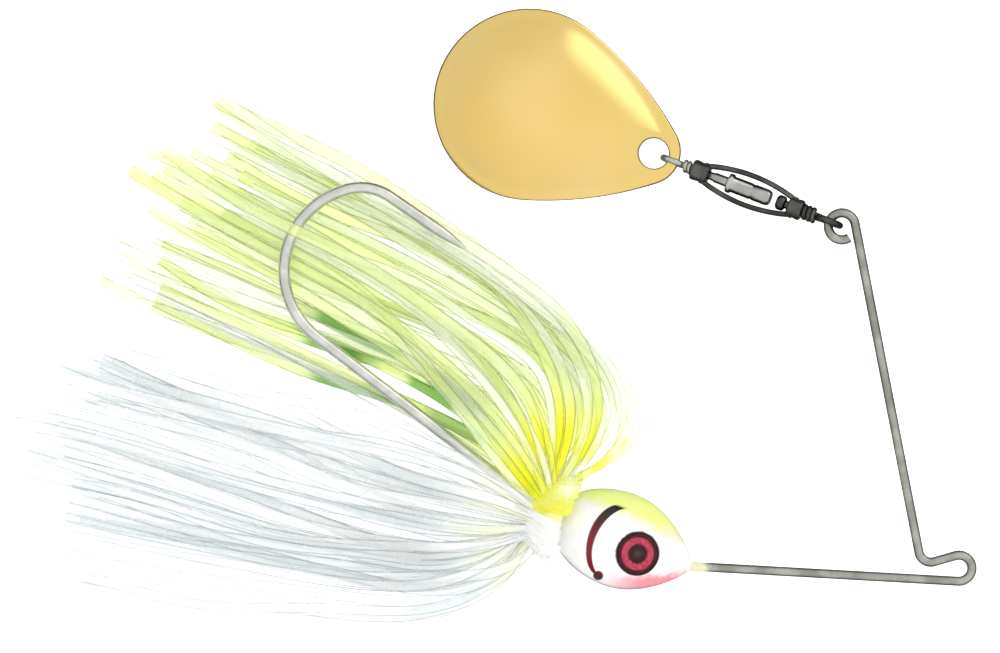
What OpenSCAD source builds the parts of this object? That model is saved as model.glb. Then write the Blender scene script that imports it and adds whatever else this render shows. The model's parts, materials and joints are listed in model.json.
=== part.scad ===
// Spinnerbait lying on its side. The wire and the hook lie in the plane z = 0, +X points
// forward to the line tie, +Y points from the head to the blade. The origin is the centre of
// the line tie bend. All sizes are in millimetres.

/* [Head] */
// Length of the head from its nose to the start of its collar
head_l = 15.3; // [14:0.1:16]
// Largest diameter of the head
head_d = 10.5; // [10:0.1:11]
// Angle of the head's axis above the -X direction
head_tilt = 20.9; // [18:0.1:24]
// Diameter of the skirt collar
collar_d = 4.2; // [4:0.1:4.6]
// Length of the skirt collar with its bulb
collar_l = 5.2; // [4.8:0.1:6]
// Diameter of each eye
eye_d = 4.8; // [4:0.1:5]

/* [Wire] */
// Diameter of the frame's wire
wire_d = 1.02; // [0.9:0.01:1.1]
// Straight length of the upper arm
upper_arm = 36.4; // [30:0.1:38]
// Radius of the line tie bend, to the wire's middle
tie_r = 1.42; // [1.3:0.01:1.6]
// Radius of the end loop, to the wire's middle
loop_r = 1.47; // [1.4:0.01:1.6]

/* [Hook] */
// Diameter of the hook's wire
hook_d = 1.3; // [1.1:0.05:1.5]
// Straight length of the shank, from the hook's eye to its bend
shank_l = 36.4; // [34:0.1:38]

/* [Swivel] */
// Heading of the swivel in the XY plane
swivel_heading = 158.5; // [150:0.5:165]
// How far the swivel dips towards the blade
swivel_dip = 12; // [10:0.5:14]
// Distance between the centres of the two eyes
swivel_l = 18.5; // [18:0.1:20]
// Largest diameter of the cage
cage_d = 3.8; // [3.4:0.1:4.2]

/* [Blade] */
// Length of the blade
blade_l = 28.1; // [26:0.1:30]
// Width of the blade
blade_w = 21; // [19:0.1:22]
// Depth of the blade's cup
cup_depth = 3.6; // [3:0.1:4]
// Thickness of the blade's metal
blade_t = 0.5; // [0.4:0.05:0.6]
// Diameter of the blade's hole
blade_hole_d = 3.3; // [3:0.1:3.6]

/* [Skirt] */
// Length of the strands behind the band
strand_l = 56; // [50:1:60]
// Locks of strands of one colour on one side
lock_count = 6; // [4:1:6]
// Width of a lock at its widest
lock_w = 2.4; // [1.6:0.1:2.4]
// Thickness of a lock
lock_t = 0.8; // [0.6:0.1:1]

/* [Hidden] */
$fn = 48;
LOCKS = [for (colour = ["chartreuse", "white"], side = ["near", "far"], i = [1:lock_count])
    str(colour, "_", side, "_", i)];

// Colours
steel = [0.62, 0.62, 0.6];
nickel = [0.75, 0.76, 0.74];
gold = [0.9, 0.72, 0.32];
chartreuse = [0.82, 0.93, 0.3];
pearl = [0.93, 0.95, 0.95];

// Clearance left round what is cast into the head
cast_gap = 0.01;
// Running clearance of each stem in its collar
run_gap = 0.05;

// --- plane curves -------------------------------------------------------------------------

function dir(heading) = [cos(heading), sin(heading), 0];
function turn_centre(p, heading, turn, r) = p + sign(turn) * r * dir(heading + 90);
function after_turn(p, heading, turn, r) =
    turn_centre(p, heading, turn, r) + sign(turn) * r * dir(heading + turn - 90);

// Where a bar that starts at p on a heading ends, as [place, heading]. Each leg is
// [straight length, turn, turn radius], and a turn to the left is positive.
function bar_end(p, heading, legs, i = 0) = i == len(legs) ? [p, heading]
    : bar_end(after_turn(p + legs[i][0] * dir(heading), heading, legs[i][1], legs[i][2]),
        heading + legs[i][1], legs, i + 1);

// A round bar along such legs, with a turn at the end of every leg. The straights run a little
// way into the turns, and the turns are a hair thicker.
into_turn = 0.1;
turn_extra = 0.01;
module bent_bar(p, heading, legs, r, i = 0) {
    if (i < len(legs)) {
        turn = legs[i][1];
        turn_r = legs[i][2];
        start = i == 0 ? 0 : into_turn;
        q = p + legs[i][0] * dir(heading);
        translate(p - start * dir(heading)) rotate([0, 0, heading]) rotate([0, 90, 0])
            cylinder(h = legs[i][0] + start + into_turn, r = r);
        translate(turn_centre(q, heading, turn, turn_r))
            rotate([0, 0, heading - sign(turn) * 90 + min(turn, 0)])
                rotate_extrude(angle = abs(turn)) translate([turn_r, 0]) circle(r = r + turn_extra);
        bent_bar(after_turn(q, heading, turn, turn_r), heading + turn, legs, r, i + 1);
    }
}

// --- head ---------------------------------------------------------------------------------

nose = [-28.8, 0.05, 0];
head_axis = dir(180 - head_tilt);
head_side = dir(90 - head_tilt);
// Distance from the nose to the thickest place, as a share of the head's length
thick_at = 0.55;
bulb_d = collar_d + 0.9;
bulb_l = 0.9;

function head_r(s) = let (t = s / head_l)
    head_d / 2 * (t < thick_at ? pow(sin(90 * t / thick_at), 0.74)
        : pow(cos(84 * (t - thick_at) / (1 - thick_at)), 0.38));
function head_point(s, h, z) = nose + s * head_axis + h * head_side + [0, 0, z];

// Puts what is drawn along +Z onto the head's axis, from the nose backwards
module on_head_axis() translate(nose) rotate([0, 0, 180 - head_tilt]) rotate([0, 90, 0]) children();

module head_body() {
    steps = 26;
    outline = [for (i = [0:steps]) let (s = head_l * pow(i / steps, 1.15)) [head_r(s), s]];
    on_head_axis() rotate_extrude()
        polygon(concat([for (p = outline) if (p[0] > 0.01 || p[1] == 0) p],
            [[collar_d / 2, head_l], [collar_d / 2, head_l + collar_l - bulb_l],
            [bulb_d / 2, head_l + collar_l - bulb_l * 0.7],
            [bulb_d / 2, head_l + collar_l - bulb_l * 0.3],
            [bulb_d / 2 - 0.3, head_l + collar_l], [0, head_l + collar_l]]));
}

// Eye: a seat in the head, a foil disc on it and a clear dome over the disc
eye_s = 6.3;
eye_h = -0.6;
eye_z = 4.25;
eye_lean = 13;
foil_t = 0.15;
dome_h = 0.75;

// side is 1 for the side that faces up and -1 for the other
module at_eye(side) mirror([0, 0, side > 0 ? 0 : 1])
    translate(head_point(eye_s, eye_h, eye_z)) rotate([0, 0, 180 - head_tilt])
        rotate([0, -eye_lean, 0]) children();

module eye_foil(side) color([0.75, 0.25, 0.35]) at_eye(side) cylinder(h = foil_t, d = eye_d);

module eye_dome(side) {
    ball_r = (pow(eye_d / 2, 2) + pow(dome_h, 2)) / (2 * dome_h);
    color([0.6, 0.15, 0.2, 0.5]) at_eye(side) translate([0, 0, foil_t]) intersection() {
        cylinder(h = dome_h, d = eye_d);
        translate([0, 0, dome_h - ball_r]) sphere(r = ball_r);
    }
}

module lead_head() color("white") difference() {
    head_body();
    frame_wire(wire_d / 2 + cast_gap);
    hook_eye_and_shank(hook_d / 2 + cast_gap);
    for (side = [1, -1]) at_eye(side) cylinder(h = 3, d = eye_d + 0.04);
}

// --- wire frame ---------------------------------------------------------------------------

hook_heading = 142.5;
hook_eye = [-40.72, 2.94, 0];
hook_eye_r = 1.45;

// Where the lower arm meets the line tie bend, and its heading there
tie_end = [0.1, -1.44, 0];
tie_heading = -3.2;
tie_turn = 199.2;
arm_heading = 101;
loop_turn = 292;
dip_leg = 2.4;
dip_r = 1.3;
anchor_r = 1;
anchor_tail = 1.6;

// The wire's inner end passes through the hook's eye and bends into the lower arm
anchor_heading = hook_heading + 90;
anchor_turn = 360 + tie_heading - anchor_heading;
anchor_reach = anchor_r * tan(anchor_turn / 2);
function cross_z(a, b) = a[0] * b[1] - a[1] * b[0];
lower_arm = cross_z(tie_end - hook_eye, dir(anchor_heading))
    / cross_z(dir(tie_heading), dir(anchor_heading)) - anchor_reach;
anchor_corner = tie_end - (lower_arm + anchor_reach) * dir(tie_heading);
anchor_leg = norm(anchor_corner - hook_eye) - anchor_reach;
wire_start = hook_eye - anchor_tail * dir(anchor_heading);

wire_legs = [[anchor_tail + anchor_leg, anchor_turn, anchor_r], [lower_arm, tie_turn, tie_r],
    [dip_leg, arm_heading - tie_heading - tie_turn, dip_r], [upper_arm, loop_turn, loop_r]];

module frame_wire(r) bent_bar(wire_start, anchor_heading, wire_legs, r);

module wire_frame() color(steel) frame_wire(wire_d / 2);

// Centre of the end loop, worked out along the wire
arm_foot = bar_end(wire_start, anchor_heading, [for (i = [0:2]) wire_legs[i]])[0];
loop_centre = turn_centre(arm_foot + upper_arm * dir(arm_heading), arm_heading, 1, loop_r);

// --- hook ---------------------------------------------------------------------------------

point_leg = 10.4;
point_taper = 4.6;
hook_legs = [[shank_l - hook_eye_r, -123, 9.1], [0.4, -54, 5.6]];
shank_start = hook_eye + hook_eye_r * dir(hook_heading);

module hook_eye_ring(r) translate(hook_eye) rotate([0, 0, hook_heading]) rotate([90, 0, 0])
    rotate_extrude() translate([hook_eye_r, 0]) circle(r = r + 0.03);

module hook_eye_and_shank(r) {
    hook_eye_ring(r);
    translate(shank_start) rotate([0, 0, hook_heading]) rotate([0, 90, 0])
        cylinder(h = shank_l - hook_eye_r, r = r);
}

module hook() color(steel) {
    r = hook_d / 2;
    bend_end = bar_end(shank_start, hook_heading, hook_legs);
    hook_eye_ring(r);
    bent_bar(shank_start, hook_heading, hook_legs, r);
    translate(bend_end[0]) rotate([0, 0, bend_end[1]]) {
        translate([-into_turn, 0, 0]) rotate([0, 90, 0]) rotate_extrude()
            polygon([[0, 0], [r, 0], [r, into_turn + point_leg - point_taper],
                [0.04, into_turn + point_leg], [0, into_turn + point_leg]]);
        // barb, cut up from the inner side of the leg
        translate([point_leg - point_taper - 0.6, 0, -0.2]) linear_extrude(0.4)
            polygon([[0, -1.25], [2.3, 0], [1.2, 0], [0.5, -0.5]]);
    }
}

// --- swivel -------------------------------------------------------------------------------

rear_ring_r = 1.23;
rear_ring_wire = 0.76;
front_ring_r = 1.15;
front_ring_wire = 0.7;
stem_r = 0.45;
// Places along the swivel's axis, from the rear eye's centre
cage_start = 3.2;
rear_collar_end = 4.6;
front_collar_start = 14.5;
cage_end = 16.2;
collar_r = 1.15;
cage_wall = 0.4;

link = loop_centre + loop_r * dir(swivel_heading);
front_link = link + swivel_l * [cos(swivel_dip) * cos(swivel_heading),
    cos(swivel_dip) * sin(swivel_heading), -sin(swivel_dip)];

// Local +X runs from the rear eye to the front eye
module on_swivel() translate(link) rotate([0, swivel_dip, swivel_heading]) children();
module along_x() rotate([0, 90, 0]) children();
module ring(ring_r, wire) rotate([90, 0, 0]) rotate_extrude() translate([ring_r, 0]) circle(d = wire);

function cage_r(u) = collar_r + (cage_d / 2 - collar_r)
    * pow(sin(180 * (u - rear_collar_end) / (front_collar_start - rear_collar_end)), 0.8);

module swivel_cage() {
    steps = 18;
    span = front_collar_start - rear_collar_end;
    bulge = [for (i = [0:steps]) let (u = rear_collar_end + span * i / steps)
        [max(cage_r(u), collar_r), u]];
    color(nickel) on_swivel() difference() {
        along_x() rotate_extrude() polygon(concat([[stem_r + run_gap, cage_start], [collar_r, cage_start]],
            bulge, [[collar_r, cage_end], [stem_r + run_gap, cage_end],
            [stem_r + run_gap, front_collar_start]],
            [for (i = [steps:-1:0]) [bulge[i][0] - cage_wall, bulge[i][1]]],
            [[stem_r + run_gap, rear_collar_end]]));
        translate([rear_collar_end + 0.35, -3, 0.75]) cube([span - 0.7, 6, 3]);
        translate([rear_collar_end + 0.35, -3, -3.75]) cube([span - 0.7, 6, 3]);
    }
}

// Rear eye: a wire ring, two wraps of its own wire, and a stem with a round head in the cage
module swivel_rear_eye() color(nickel) on_swivel() {
    ring(rear_ring_r, rear_ring_wire);
    along_x() rotate_extrude() polygon([[0, rear_ring_r], [stem_r, rear_ring_r], [stem_r, 5.2],
        [0.78, 5.3], [0.85, 5.7], [0.78, 6.1], [0.4, 6.25], [0, 6.25]]);
    for (u = [2.05, 2.7]) translate([u, 0, 0]) along_x() rotate_extrude()
        translate([0.62, 0]) circle(d = 0.7);
}

// Front eye: a small ring, a neck, and a long turned head in the cage
module swivel_front_eye() color(nickel) on_swivel() {
    translate([swivel_l, 0, 0]) ring(front_ring_r, front_ring_wire);
    along_x() rotate_extrude() polygon([[0, 6.9], [0.75, 6.9], [0.9, 7.3], [0.9, 11.4],
        [1.08, 11.5], [1.08, 11.95], [0.55, 12.1], [0.55, 13.6], [stem_r, 13.7],
        [stem_r, swivel_l - front_ring_r], [0, swivel_l - front_ring_r]]);
}

// --- blade --------------------------------------------------------------------------------

// Heading and dip of the blade, which lies with its far rim on the table
blade_heading = 158.3;
blade_dip = 2.1;
tip_r = 3.7;
side_r = 40;
round_r = blade_w / 2;
// Metal between the hole and the tip
margin = 1.25;
// The outline is a round end, two long side arcs and a small tip arc, all tangent. It is
// measured from the centre of the round end, and bearing 0 points to the tip.
tip_x = blade_l - round_r - tip_r;
side_x = (pow(side_r - tip_r, 2) - pow(side_r - round_r, 2) - tip_x * tip_x) / (-2 * tip_x);
side_y = sqrt(pow(side_r - round_r, 2) - side_x * side_x);
round_bearing = atan2(side_y, -side_x);
tip_touch = [tip_x, 0] + tip_r * [tip_x - side_x, side_y] / (side_r - tip_r);
tip_bearing = atan2(tip_touch[1], tip_touch[0]);

function from_circle(centre, r, bearing) =
    let (along = centre * [cos(bearing), sin(bearing)])
    along + sqrt(along * along - centre * centre + r * r);
function outline_r(bearing) = let (b = abs(bearing > 180 ? bearing - 360 : bearing))
    b < tip_bearing ? from_circle([tip_x, 0], tip_r, b)
    : b < round_bearing ? from_circle([side_x, -side_y], side_r, b) : round_r;
// Height of the metal's middle over the rim, at a share of the way out to the rim
function cup_z(share) = cup_depth * (1 - share * share);

module blade_metal() {
    around = 48;
    rings = 8;
    bearings = [for (i = [0:around - 1]) 360 * (i + 0.5) / around];
    function place(side) = [for (j = [1:rings], b = bearings) let (share = sqrt(j / rings))
        [outline_r(b) * share * cos(b), outline_r(b) * share * sin(b), cup_z(share) + side * blade_t / 2]];
    points = concat([[0, 0, cup_depth + blade_t / 2]], place(1), [[0, 0, cup_depth - blade_t / 2]], place(-1));
    under = 1 + rings * around;
    function next(i) = (i + 1) % around;
    top = concat([for (i = [0:around - 1]) [0, 1 + next(i), 1 + i]],
        [for (j = [0:rings - 2], i = [0:around - 1]) let (a = 1 + j * around)
            [a + i, a + next(i), a + around + next(i), a + around + i]]);
    bottom = [for (f = top) [for (k = [len(f) - 1:-1:0]) f[k] + under]];
    last = 1 + (rings - 1) * around;
    rim = [for (i = [0:around - 1]) [last + i, last + next(i), last + next(i) + under, last + i + under]];
    polyhedron(points, concat(top, bottom, rim));
}

// Distance from the centre of the round end to the middle of the metal between hole and tip
link_out = blade_l - round_r - margin / 2;
hole_out = link_out - margin / 2 - blade_hole_d / 2;
hole_lean = atan(2 * cup_depth * hole_out / pow(blade_l - round_r, 2));

module blade() color(gold)
    translate(front_link) rotate([0, blade_dip, blade_heading]) rotate([0, 0, 180])
        translate([-link_out, 0, -cup_z(link_out / (blade_l - round_r))]) difference() {
            blade_metal();
            translate([hole_out, 0, cup_z(hole_out / (blade_l - round_r))]) rotate([0, hole_lean, 0])
                translate([0, 0, -2]) cylinder(h = 4, d = blade_hole_d);
        }

// --- skirt --------------------------------------------------------------------------------

band_l = 3;
band_d = 6;
band_at = head_l + 1;

module skirt_band() color([0.9, 0.92, 0.6]) on_head_axis() translate([0, 0, band_at])
    rotate_extrude() polygon([[collar_d / 2 + 0.02, 0], [band_d / 2 - 0.3, 0], [band_d / 2, 0.4],
        [band_d / 2, band_l - 0.4], [band_d / 2 - 0.3, band_l], [collar_d / 2 + 0.02, band_l]]);

skirt_centre = head_point(band_at + band_l / 2, 0, 0);
root_r = band_d / 2 + 0.75;

// Section of a lock: an ellipse of 8 points
function section(w, t) = [for (k = [0:7]) [w / 2 * cos(45 * k), t / 2 * sin(45 * k)]];
function curve(p, t) = pow(1 - t, 3) * p[0] + 3 * pow(1 - t, 2) * t * p[1]
    + 3 * (1 - t) * t * t * p[2] + pow(t, 3) * p[3];
function slope(p, t) = 3 * (pow(1 - t, 2) * (p[1] - p[0]) + 2 * (1 - t) * t * (p[2] - p[1])
    + t * t * (p[3] - p[2]));
function unit(v) = v / norm(v);

// A lock of strands swept along a curve through four control points
module lock(p) {
    rings = 14;
    points = [for (i = [0:rings]) let (t = i / rings, at = curve(p, t), ahead = unit(slope(p, t)),
        across = unit(cross([0, 0, 1], ahead)), up = cross(ahead, across),
        w = lock_w * (0.25 + 0.75 * pow(sin(90 * min(1, 1.3 * t)), 1.8)) * (t > 0.9 ? 0.8 : 1),
        thick = lock_t * (t > 0.9 ? 0.7 : 1))
        each [for (q = section(w, thick)) at + q[0] * across + q[1] * up]];
    sides = [for (i = [0:rings - 1], k = [0:7]) let (a = 8 * i, n = (k + 1) % 8)
        [a + k, a + n, a + 8 + n, a + 8 + k]];
    polyhedron(points, concat(sides, [[for (k = [7:-1:0]) k]], [[for (k = [0:7]) 8 * rings + k]]));
}

// The locks fan out from the band. Lock 1 of each colour is the outermost one, and the last
// one lies beside the other colour. Near locks face up, and far locks lie on the table.
function mix(a, b, f) = a + (b - a) * f;
function lock_curve(is_upper, side, i) = let (
    f = (i - 1) / (lock_count - 1),
    around = mix(14, 79, f),
    out = is_upper ? cos(around) : -cos(around),
    root = skirt_centre + root_r * (out * head_side + [0, 0, side * sin(around)])
        + (i % 2 == 0 ? 1.15 : -1.15) * head_axis,
    start_heading = is_upper ? mix(14, 126, pow(f, 0.9)) : mix(264, 168, f),
    start_reach = is_upper ? mix(24.5, 14, pow(f, 0.7)) : mix(11, 13, f),
    tip_heading = is_upper ? mix(126, side > 0 ? 147 : 153, pow(f, 0.8))
        : mix(190, side > 0 ? 164 : 160, pow(f, 0.8)),
    tip = [skirt_centre[0], skirt_centre[1], 0] + strand_l * (i % 2 == 0 ? 1.03 : 0.97) * dir(tip_heading),
    end_heading = is_upper ? mix(149, 156, f) : mix(174, 163, f),
    lift = side * ((side > 0 ? mix(2.2, 4.4, f) : mix(3.6, 4.6, f)) - (i % 2 == 0 ? 0.25 : 0)),
    tip_z = side > 0 ? 2.6 : -4.6)
    [root, root + start_reach * dir(start_heading) + [0, 0, lift * 0.9 - root[2] * 0.6],
    tip - strand_l * 0.5 * dir(end_heading) + [0, 0, lift * 1.05], tip + [0, 0, tip_z]];

module chartreuse_lock(side, i) color(chartreuse) lock(lock_curve(true, side, i));
module white_lock(side, i) color(pearl) lock(lock_curve(false, side, i));

lead_head();
eye_foil(1);  // near_eye_foil
eye_dome(1);  // near_eye_dome
eye_foil(-1);  // far_eye_foil
eye_dome(-1);  // far_eye_dome
wire_frame();
hook();
skirt_band();
swivel_rear_eye();
swivel_cage();
swivel_front_eye();
blade();
for (i = [1:lock_count]) {
    chartreuse_lock(1, i);
    chartreuse_lock(-1, i);
    white_lock(1, i);
    white_lock(-1, i);
}
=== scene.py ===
"""Looks of the spinnerbait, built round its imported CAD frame. Lengths are in millimetres and are
scaled to metres where a mesh is made."""

import json
import math
import random

import bmesh
import bpy
import numpy as np
from mathutils import Matrix, Vector


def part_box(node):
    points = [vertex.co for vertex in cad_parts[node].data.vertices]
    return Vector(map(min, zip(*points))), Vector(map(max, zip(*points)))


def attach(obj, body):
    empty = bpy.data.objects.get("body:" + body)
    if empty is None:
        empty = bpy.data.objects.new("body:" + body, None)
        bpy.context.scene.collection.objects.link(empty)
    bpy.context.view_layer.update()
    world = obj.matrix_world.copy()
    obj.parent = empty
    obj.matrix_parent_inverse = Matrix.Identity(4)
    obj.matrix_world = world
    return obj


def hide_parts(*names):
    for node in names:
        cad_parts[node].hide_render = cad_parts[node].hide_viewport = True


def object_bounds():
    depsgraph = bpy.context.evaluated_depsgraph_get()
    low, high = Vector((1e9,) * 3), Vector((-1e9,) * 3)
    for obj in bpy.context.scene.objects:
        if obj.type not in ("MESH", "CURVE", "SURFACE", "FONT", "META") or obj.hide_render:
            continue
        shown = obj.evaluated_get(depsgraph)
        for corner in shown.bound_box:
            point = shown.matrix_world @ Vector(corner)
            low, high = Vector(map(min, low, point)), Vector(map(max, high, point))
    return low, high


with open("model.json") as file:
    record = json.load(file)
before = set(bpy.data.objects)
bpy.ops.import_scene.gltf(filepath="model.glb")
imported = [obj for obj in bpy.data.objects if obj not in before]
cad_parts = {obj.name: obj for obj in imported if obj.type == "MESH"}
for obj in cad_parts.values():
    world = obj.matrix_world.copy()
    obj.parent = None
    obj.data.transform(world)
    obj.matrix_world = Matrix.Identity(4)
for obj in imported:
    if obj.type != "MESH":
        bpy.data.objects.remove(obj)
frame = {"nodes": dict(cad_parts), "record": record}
cad_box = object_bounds()
MM = 0.001
FLOOR = cad_box[0][2] / MM


# --- numbers shared with the CAD model ------------------------------------------------------

def heading(degrees):
    return np.array([math.cos(math.radians(degrees)), math.sin(math.radians(degrees)), 0.0])


UP = np.array([0.0, 0.0, 1.0])
NOSE = np.array([-28.8, 0.05, 0.0])
HEAD_HEADING = 159.1
HEAD_AXIS = heading(HEAD_HEADING)
HEAD_SIDE = heading(HEAD_HEADING - 90)
HEAD_L, HEAD_D = 15.3, 10.5
COLLAR_D, COLLAR_L = 4.2, 5.2
EYE_S, EYE_H, EYE_Z, EYE_LEAN, EYE_D = 6.3, -0.6, 4.25, 13, 4.8
HOOK_EYE = np.array([-40.72, 2.94, 0.0])
HOOK_HEADING, HOOK_R = 142.5, 0.65
BLADE_HEADING, BLADE_DIP = 158.3, 2.1
BLADE_L, BLADE_W, CUP, BLADE_T, HOLE_D = 28.1, 21.0, 3.6, 0.5, 3.3
SWIVEL_HEADING, SWIVEL_DIP, SWIVEL_L = 158.5, 12, 18.5
JOINTS = {j["name"]: j for j in frame["record"]["behaviour"]["joints"]}
LINK = np.array(JOINTS["swivel_swing"]["pos_m"]) / MM
FRONT_LINK = np.array(JOINTS["blade_flap"]["pos_m"]) / MM


def centre(node):
    low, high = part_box(node)
    return np.array((low + high) / 2) / MM


def on_head(s, h, z=0.0):
    return NOSE + s * HEAD_AXIS + h * HEAD_SIDE + z * UP


# --- materials ------------------------------------------------------------------------------

class Finish:
    """A node material. Its pattern coordinates are millimetres in the frame of the object."""

    def __init__(self, name, **uniform):
        self.material = bpy.data.materials.new(name)
        self.material.use_nodes = True
        self.tree = self.material.node_tree
        self.shader = self.tree.nodes["Principled BSDF"]
        for socket, value in uniform.items():
            self.set(socket.replace("_", " "), value)
        place = self.tree.nodes.new("ShaderNodeTexCoord").outputs["Object"]
        self.mm = self.add("VectorMath", place, operation="SCALE", Scale=1 / MM).outputs[0]

    def set(self, socket, value):
        self.put(self.shader.inputs[socket], value)

    def put(self, socket, value):
        if isinstance(value, bpy.types.NodeSocket):
            self.tree.links.new(value, socket)
        elif socket.type == "RGBA" and len(value) == 3:
            socket.default_value = (*value, 1)
        else:
            socket.default_value = value

    def add(self, kind, *values, **named):
        node = self.tree.nodes.new("ShaderNode" + kind)
        for key, value in named.items():
            if key in node.inputs:
                self.put(node.inputs[key], value)
            else:
                setattr(node, key, value)
        for socket, value in zip(node.inputs, values):
            self.put(socket, value)
        return node

    def math(self, operation, *values):
        return self.add("Math", *values, operation=operation).outputs[0]

    def smooth(self, value, low, high):
        """0 below low and 1 above high, or the other way round where low is above high."""
        return self.add("MapRange", value, low, high, interpolation_type="SMOOTHSTEP").outputs[0]

    def along(self, direction, origin=(0, 0, 0)):
        """Distance from origin along a direction."""
        moved = self.add("VectorMath", self.mm, tuple(origin), operation="SUBTRACT").outputs[0]
        return self.add("VectorMath", moved, tuple(direction), operation="DOT_PRODUCT").outputs["Value"]

    def away(self, origin):
        return self.add("VectorMath", self.mm, tuple(origin), operation="DISTANCE").outputs["Value"]

    def stored(self, key):
        """A value stored on each point of the mesh."""
        return self.add("Attribute", attribute_name=key).outputs["Fac"]

    def noise(self, scale, detail=2.0, stretch=(1, 1, 1), turned=0.0):
        """Noise from 0 to 1 with features about 1/scale mm wide, stretched along turned axes."""
        place = self.add("Mapping", self.mm, Rotation=(0, 0, math.radians(-turned))).outputs[0]
        place = self.add("Mapping", place, Scale=stretch).outputs[0]
        return self.add("TexNoise", Vector=place, Scale=scale, Detail=detail).outputs[0]

    def blend(self, factor, a, b):
        node = self.add("Mix", data_type="RGBA")
        self.put(node.inputs[0], factor)
        self.put(node.inputs[6], a)
        self.put(node.inputs[7], b)
        return node.outputs[2]

    def bump(self, height, depth):
        """Raises the surface by up to depth mm."""
        self.set("Normal", self.add("Bump", Height=height, Distance=depth * MM).outputs[0])


def brushed(name, light, dark, roughness, grain_along, grain=6.0, depth=0.01):
    """Bare or plated metal with fine marks along one direction."""
    m = Finish(name, Metallic=1.0)
    marks = m.noise(grain, 4.0, (0.12, 1, 1), grain_along)
    stains = m.noise(0.35, 3.0)
    m.set("Base Color", m.blend(m.smooth(stains, 0.35, 0.7), dark, light))
    m.set("Roughness", m.add("MapRange", marks, 0.3, 0.7, roughness * 0.7, roughness * 1.3).outputs[0])
    m.bump(marks, depth)
    return m.material


def gill_mark(m):
    """Where the gill mark is, from 0 to 1, and the share of the way up it: a bowed stroke between two
    ends, thicker at the upper one, with a dot at the lower one."""
    low_end, high_end = np.array([-39.08, -0.7, 0]), np.array([-36.25, 6.75, 0])
    bow_height, blur = 2.2, 0.07
    length = float(np.linalg.norm(high_end - low_end))
    chord = (high_end - low_end) / length
    way_up = m.along(chord, low_end)
    v = m.along((-chord[1], chord[0], 0), low_end)
    u = m.math("DIVIDE", way_up, length)
    inside = m.math("MAXIMUM", m.math("MULTIPLY", u, m.math("SUBTRACT", 1.0, u)), 0.0)
    bow = m.math("MULTIPLY", m.math("POWER", m.math("MULTIPLY", inside, 4.0), 0.6), bow_height)
    off = m.math("ABSOLUTE", m.math("SUBTRACT", v, bow))
    half_width = m.add("MapRange", u, 0.3, 1.0, 0.34, 0.56).outputs[0]
    ends = m.math("MULTIPLY", m.smooth(u, -0.01, 0.02), m.smooth(u, 1.01, 0.97))
    stroke = m.math("MULTIPLY", m.smooth(m.math("SUBTRACT", off, half_width), blur, -blur), ends)
    squares = m.math("ADD", m.math("POWER", way_up, 2.0), m.math("POWER", v, 2.0))
    dot = m.smooth(m.math("POWER", squares, 0.5), 0.62, 0.46)
    return m.math("MAXIMUM", stroke, dot), u


def head_paint():
    """Gloss white with an airbrushed yellow-green back, a red chin, a dark red gill mark and a band of
    painted shade along its lower side.
    """
    m = Finish("head_paint", IOR=1.42, Coat_Weight=0.3, Coat_Roughness=0.04)
    s = m.along(HEAD_AXIS, NOSE)
    h = m.along(HEAD_SIDE, NOSE)
    mist = m.noise(1.3, 2.0)
    h_mist = m.math("ADD", h, m.math("MULTIPLY", m.math("SUBTRACT", mist, 0.5), 1.4))
    colour = m.blend(m.smooth(mist, 0.3, 0.8), (0.90, 0.89, 0.88), (0.94, 0.93, 0.91))
    blush = m.math("MULTIPLY", m.smooth(h_mist, 1.5, 2.7), m.smooth(s, 9.5, 5.0))
    colour = m.blend(m.math("MULTIPLY", blush, 0.55), colour, (0.96, 0.60, 0.34))
    back = m.smooth(h_mist, 2.1, 3.7)
    colour = m.blend(m.math("MULTIPLY", back, 0.95), colour, (0.80, 0.90, 0.24))
    below = m.math("ADD", h_mist, m.math("MULTIPLY", s, 0.42))
    chin = m.math("MULTIPLY", m.smooth(below, 0.1, -1.3), m.smooth(s, 10.0, 4.0))
    colour = m.blend(m.math("MULTIPLY", chin, 0.9), colour, (0.88, 0.22, 0.26))
    # painted shade: a grey-purple band along the head's lower side, near its mid-height, stands in for the
    # shade on its lower outline
    painted_belly_shade = m.math("MULTIPLY", m.smooth(h, -2.6, -4.4), m.smooth(m.math("ABSOLUTE", m.along(UP)), 2.2, 0.6))
    colour = m.blend(m.math("MULTIPLY", painted_belly_shade, 0.75), colour, (0.34, 0.25, 0.30))
    mark, u = gill_mark(m)
    ink = m.blend(m.smooth(u, 0.35, 0.9), (0.19, 0.0, 0.014), (0.015, 0.006, 0.002))
    ink = m.blend(m.smooth(u, 0.08, -0.02), ink, (0.05, 0.01, 0.012))
    colour = m.blend(mark, colour, ink)
    m.set("Base Color", colour)
    m.set("Roughness", m.add("MapRange", m.noise(2.5, 3.0), 0.3, 0.7, 0.12, 0.26).outputs[0])
    m.bump(m.noise(1.1, 3.0), 0.05)
    return m.material


def eye_print(word, place):
    """Printed foil: a dark rim, a rose iris with fine rays, and a dark pupil with a faint painted highlight
    in its middle.
    """
    m = Finish(f"eye_print_{word}", Metallic=0.1, Roughness=0.35, IOR=1.1)
    r = m.away(place.translation)
    rays = m.noise(3.5, 5.0)
    r_mist = m.math("ADD", r, m.math("MULTIPLY", m.math("SUBTRACT", rays, 0.5), 0.25))
    iris = m.blend(m.smooth(rays, 0.35, 0.65), (0.40, 0.03, 0.07), (0.62, 0.09, 0.15))
    colour = m.blend(m.smooth(r_mist, 1.66, 1.86), iris, (0.045, 0.0, 0.005))
    colour = m.blend(m.smooth(r, 2.1, 2.25), colour, (0.008, 0.003, 0.004))
    colour = m.blend(m.smooth(r_mist, 1.2, 0.95), colour, (0.03, 0.0, 0.004))
    # painted highlight: a faint olive glint in the middle of the pupil
    colour = m.blend(m.smooth(r, 0.55, 0.3), colour, (0.05, 0.045, 0.025))
    m.set("Base Color", colour)
    m.bump(rays, 0.01)
    return m.material


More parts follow.
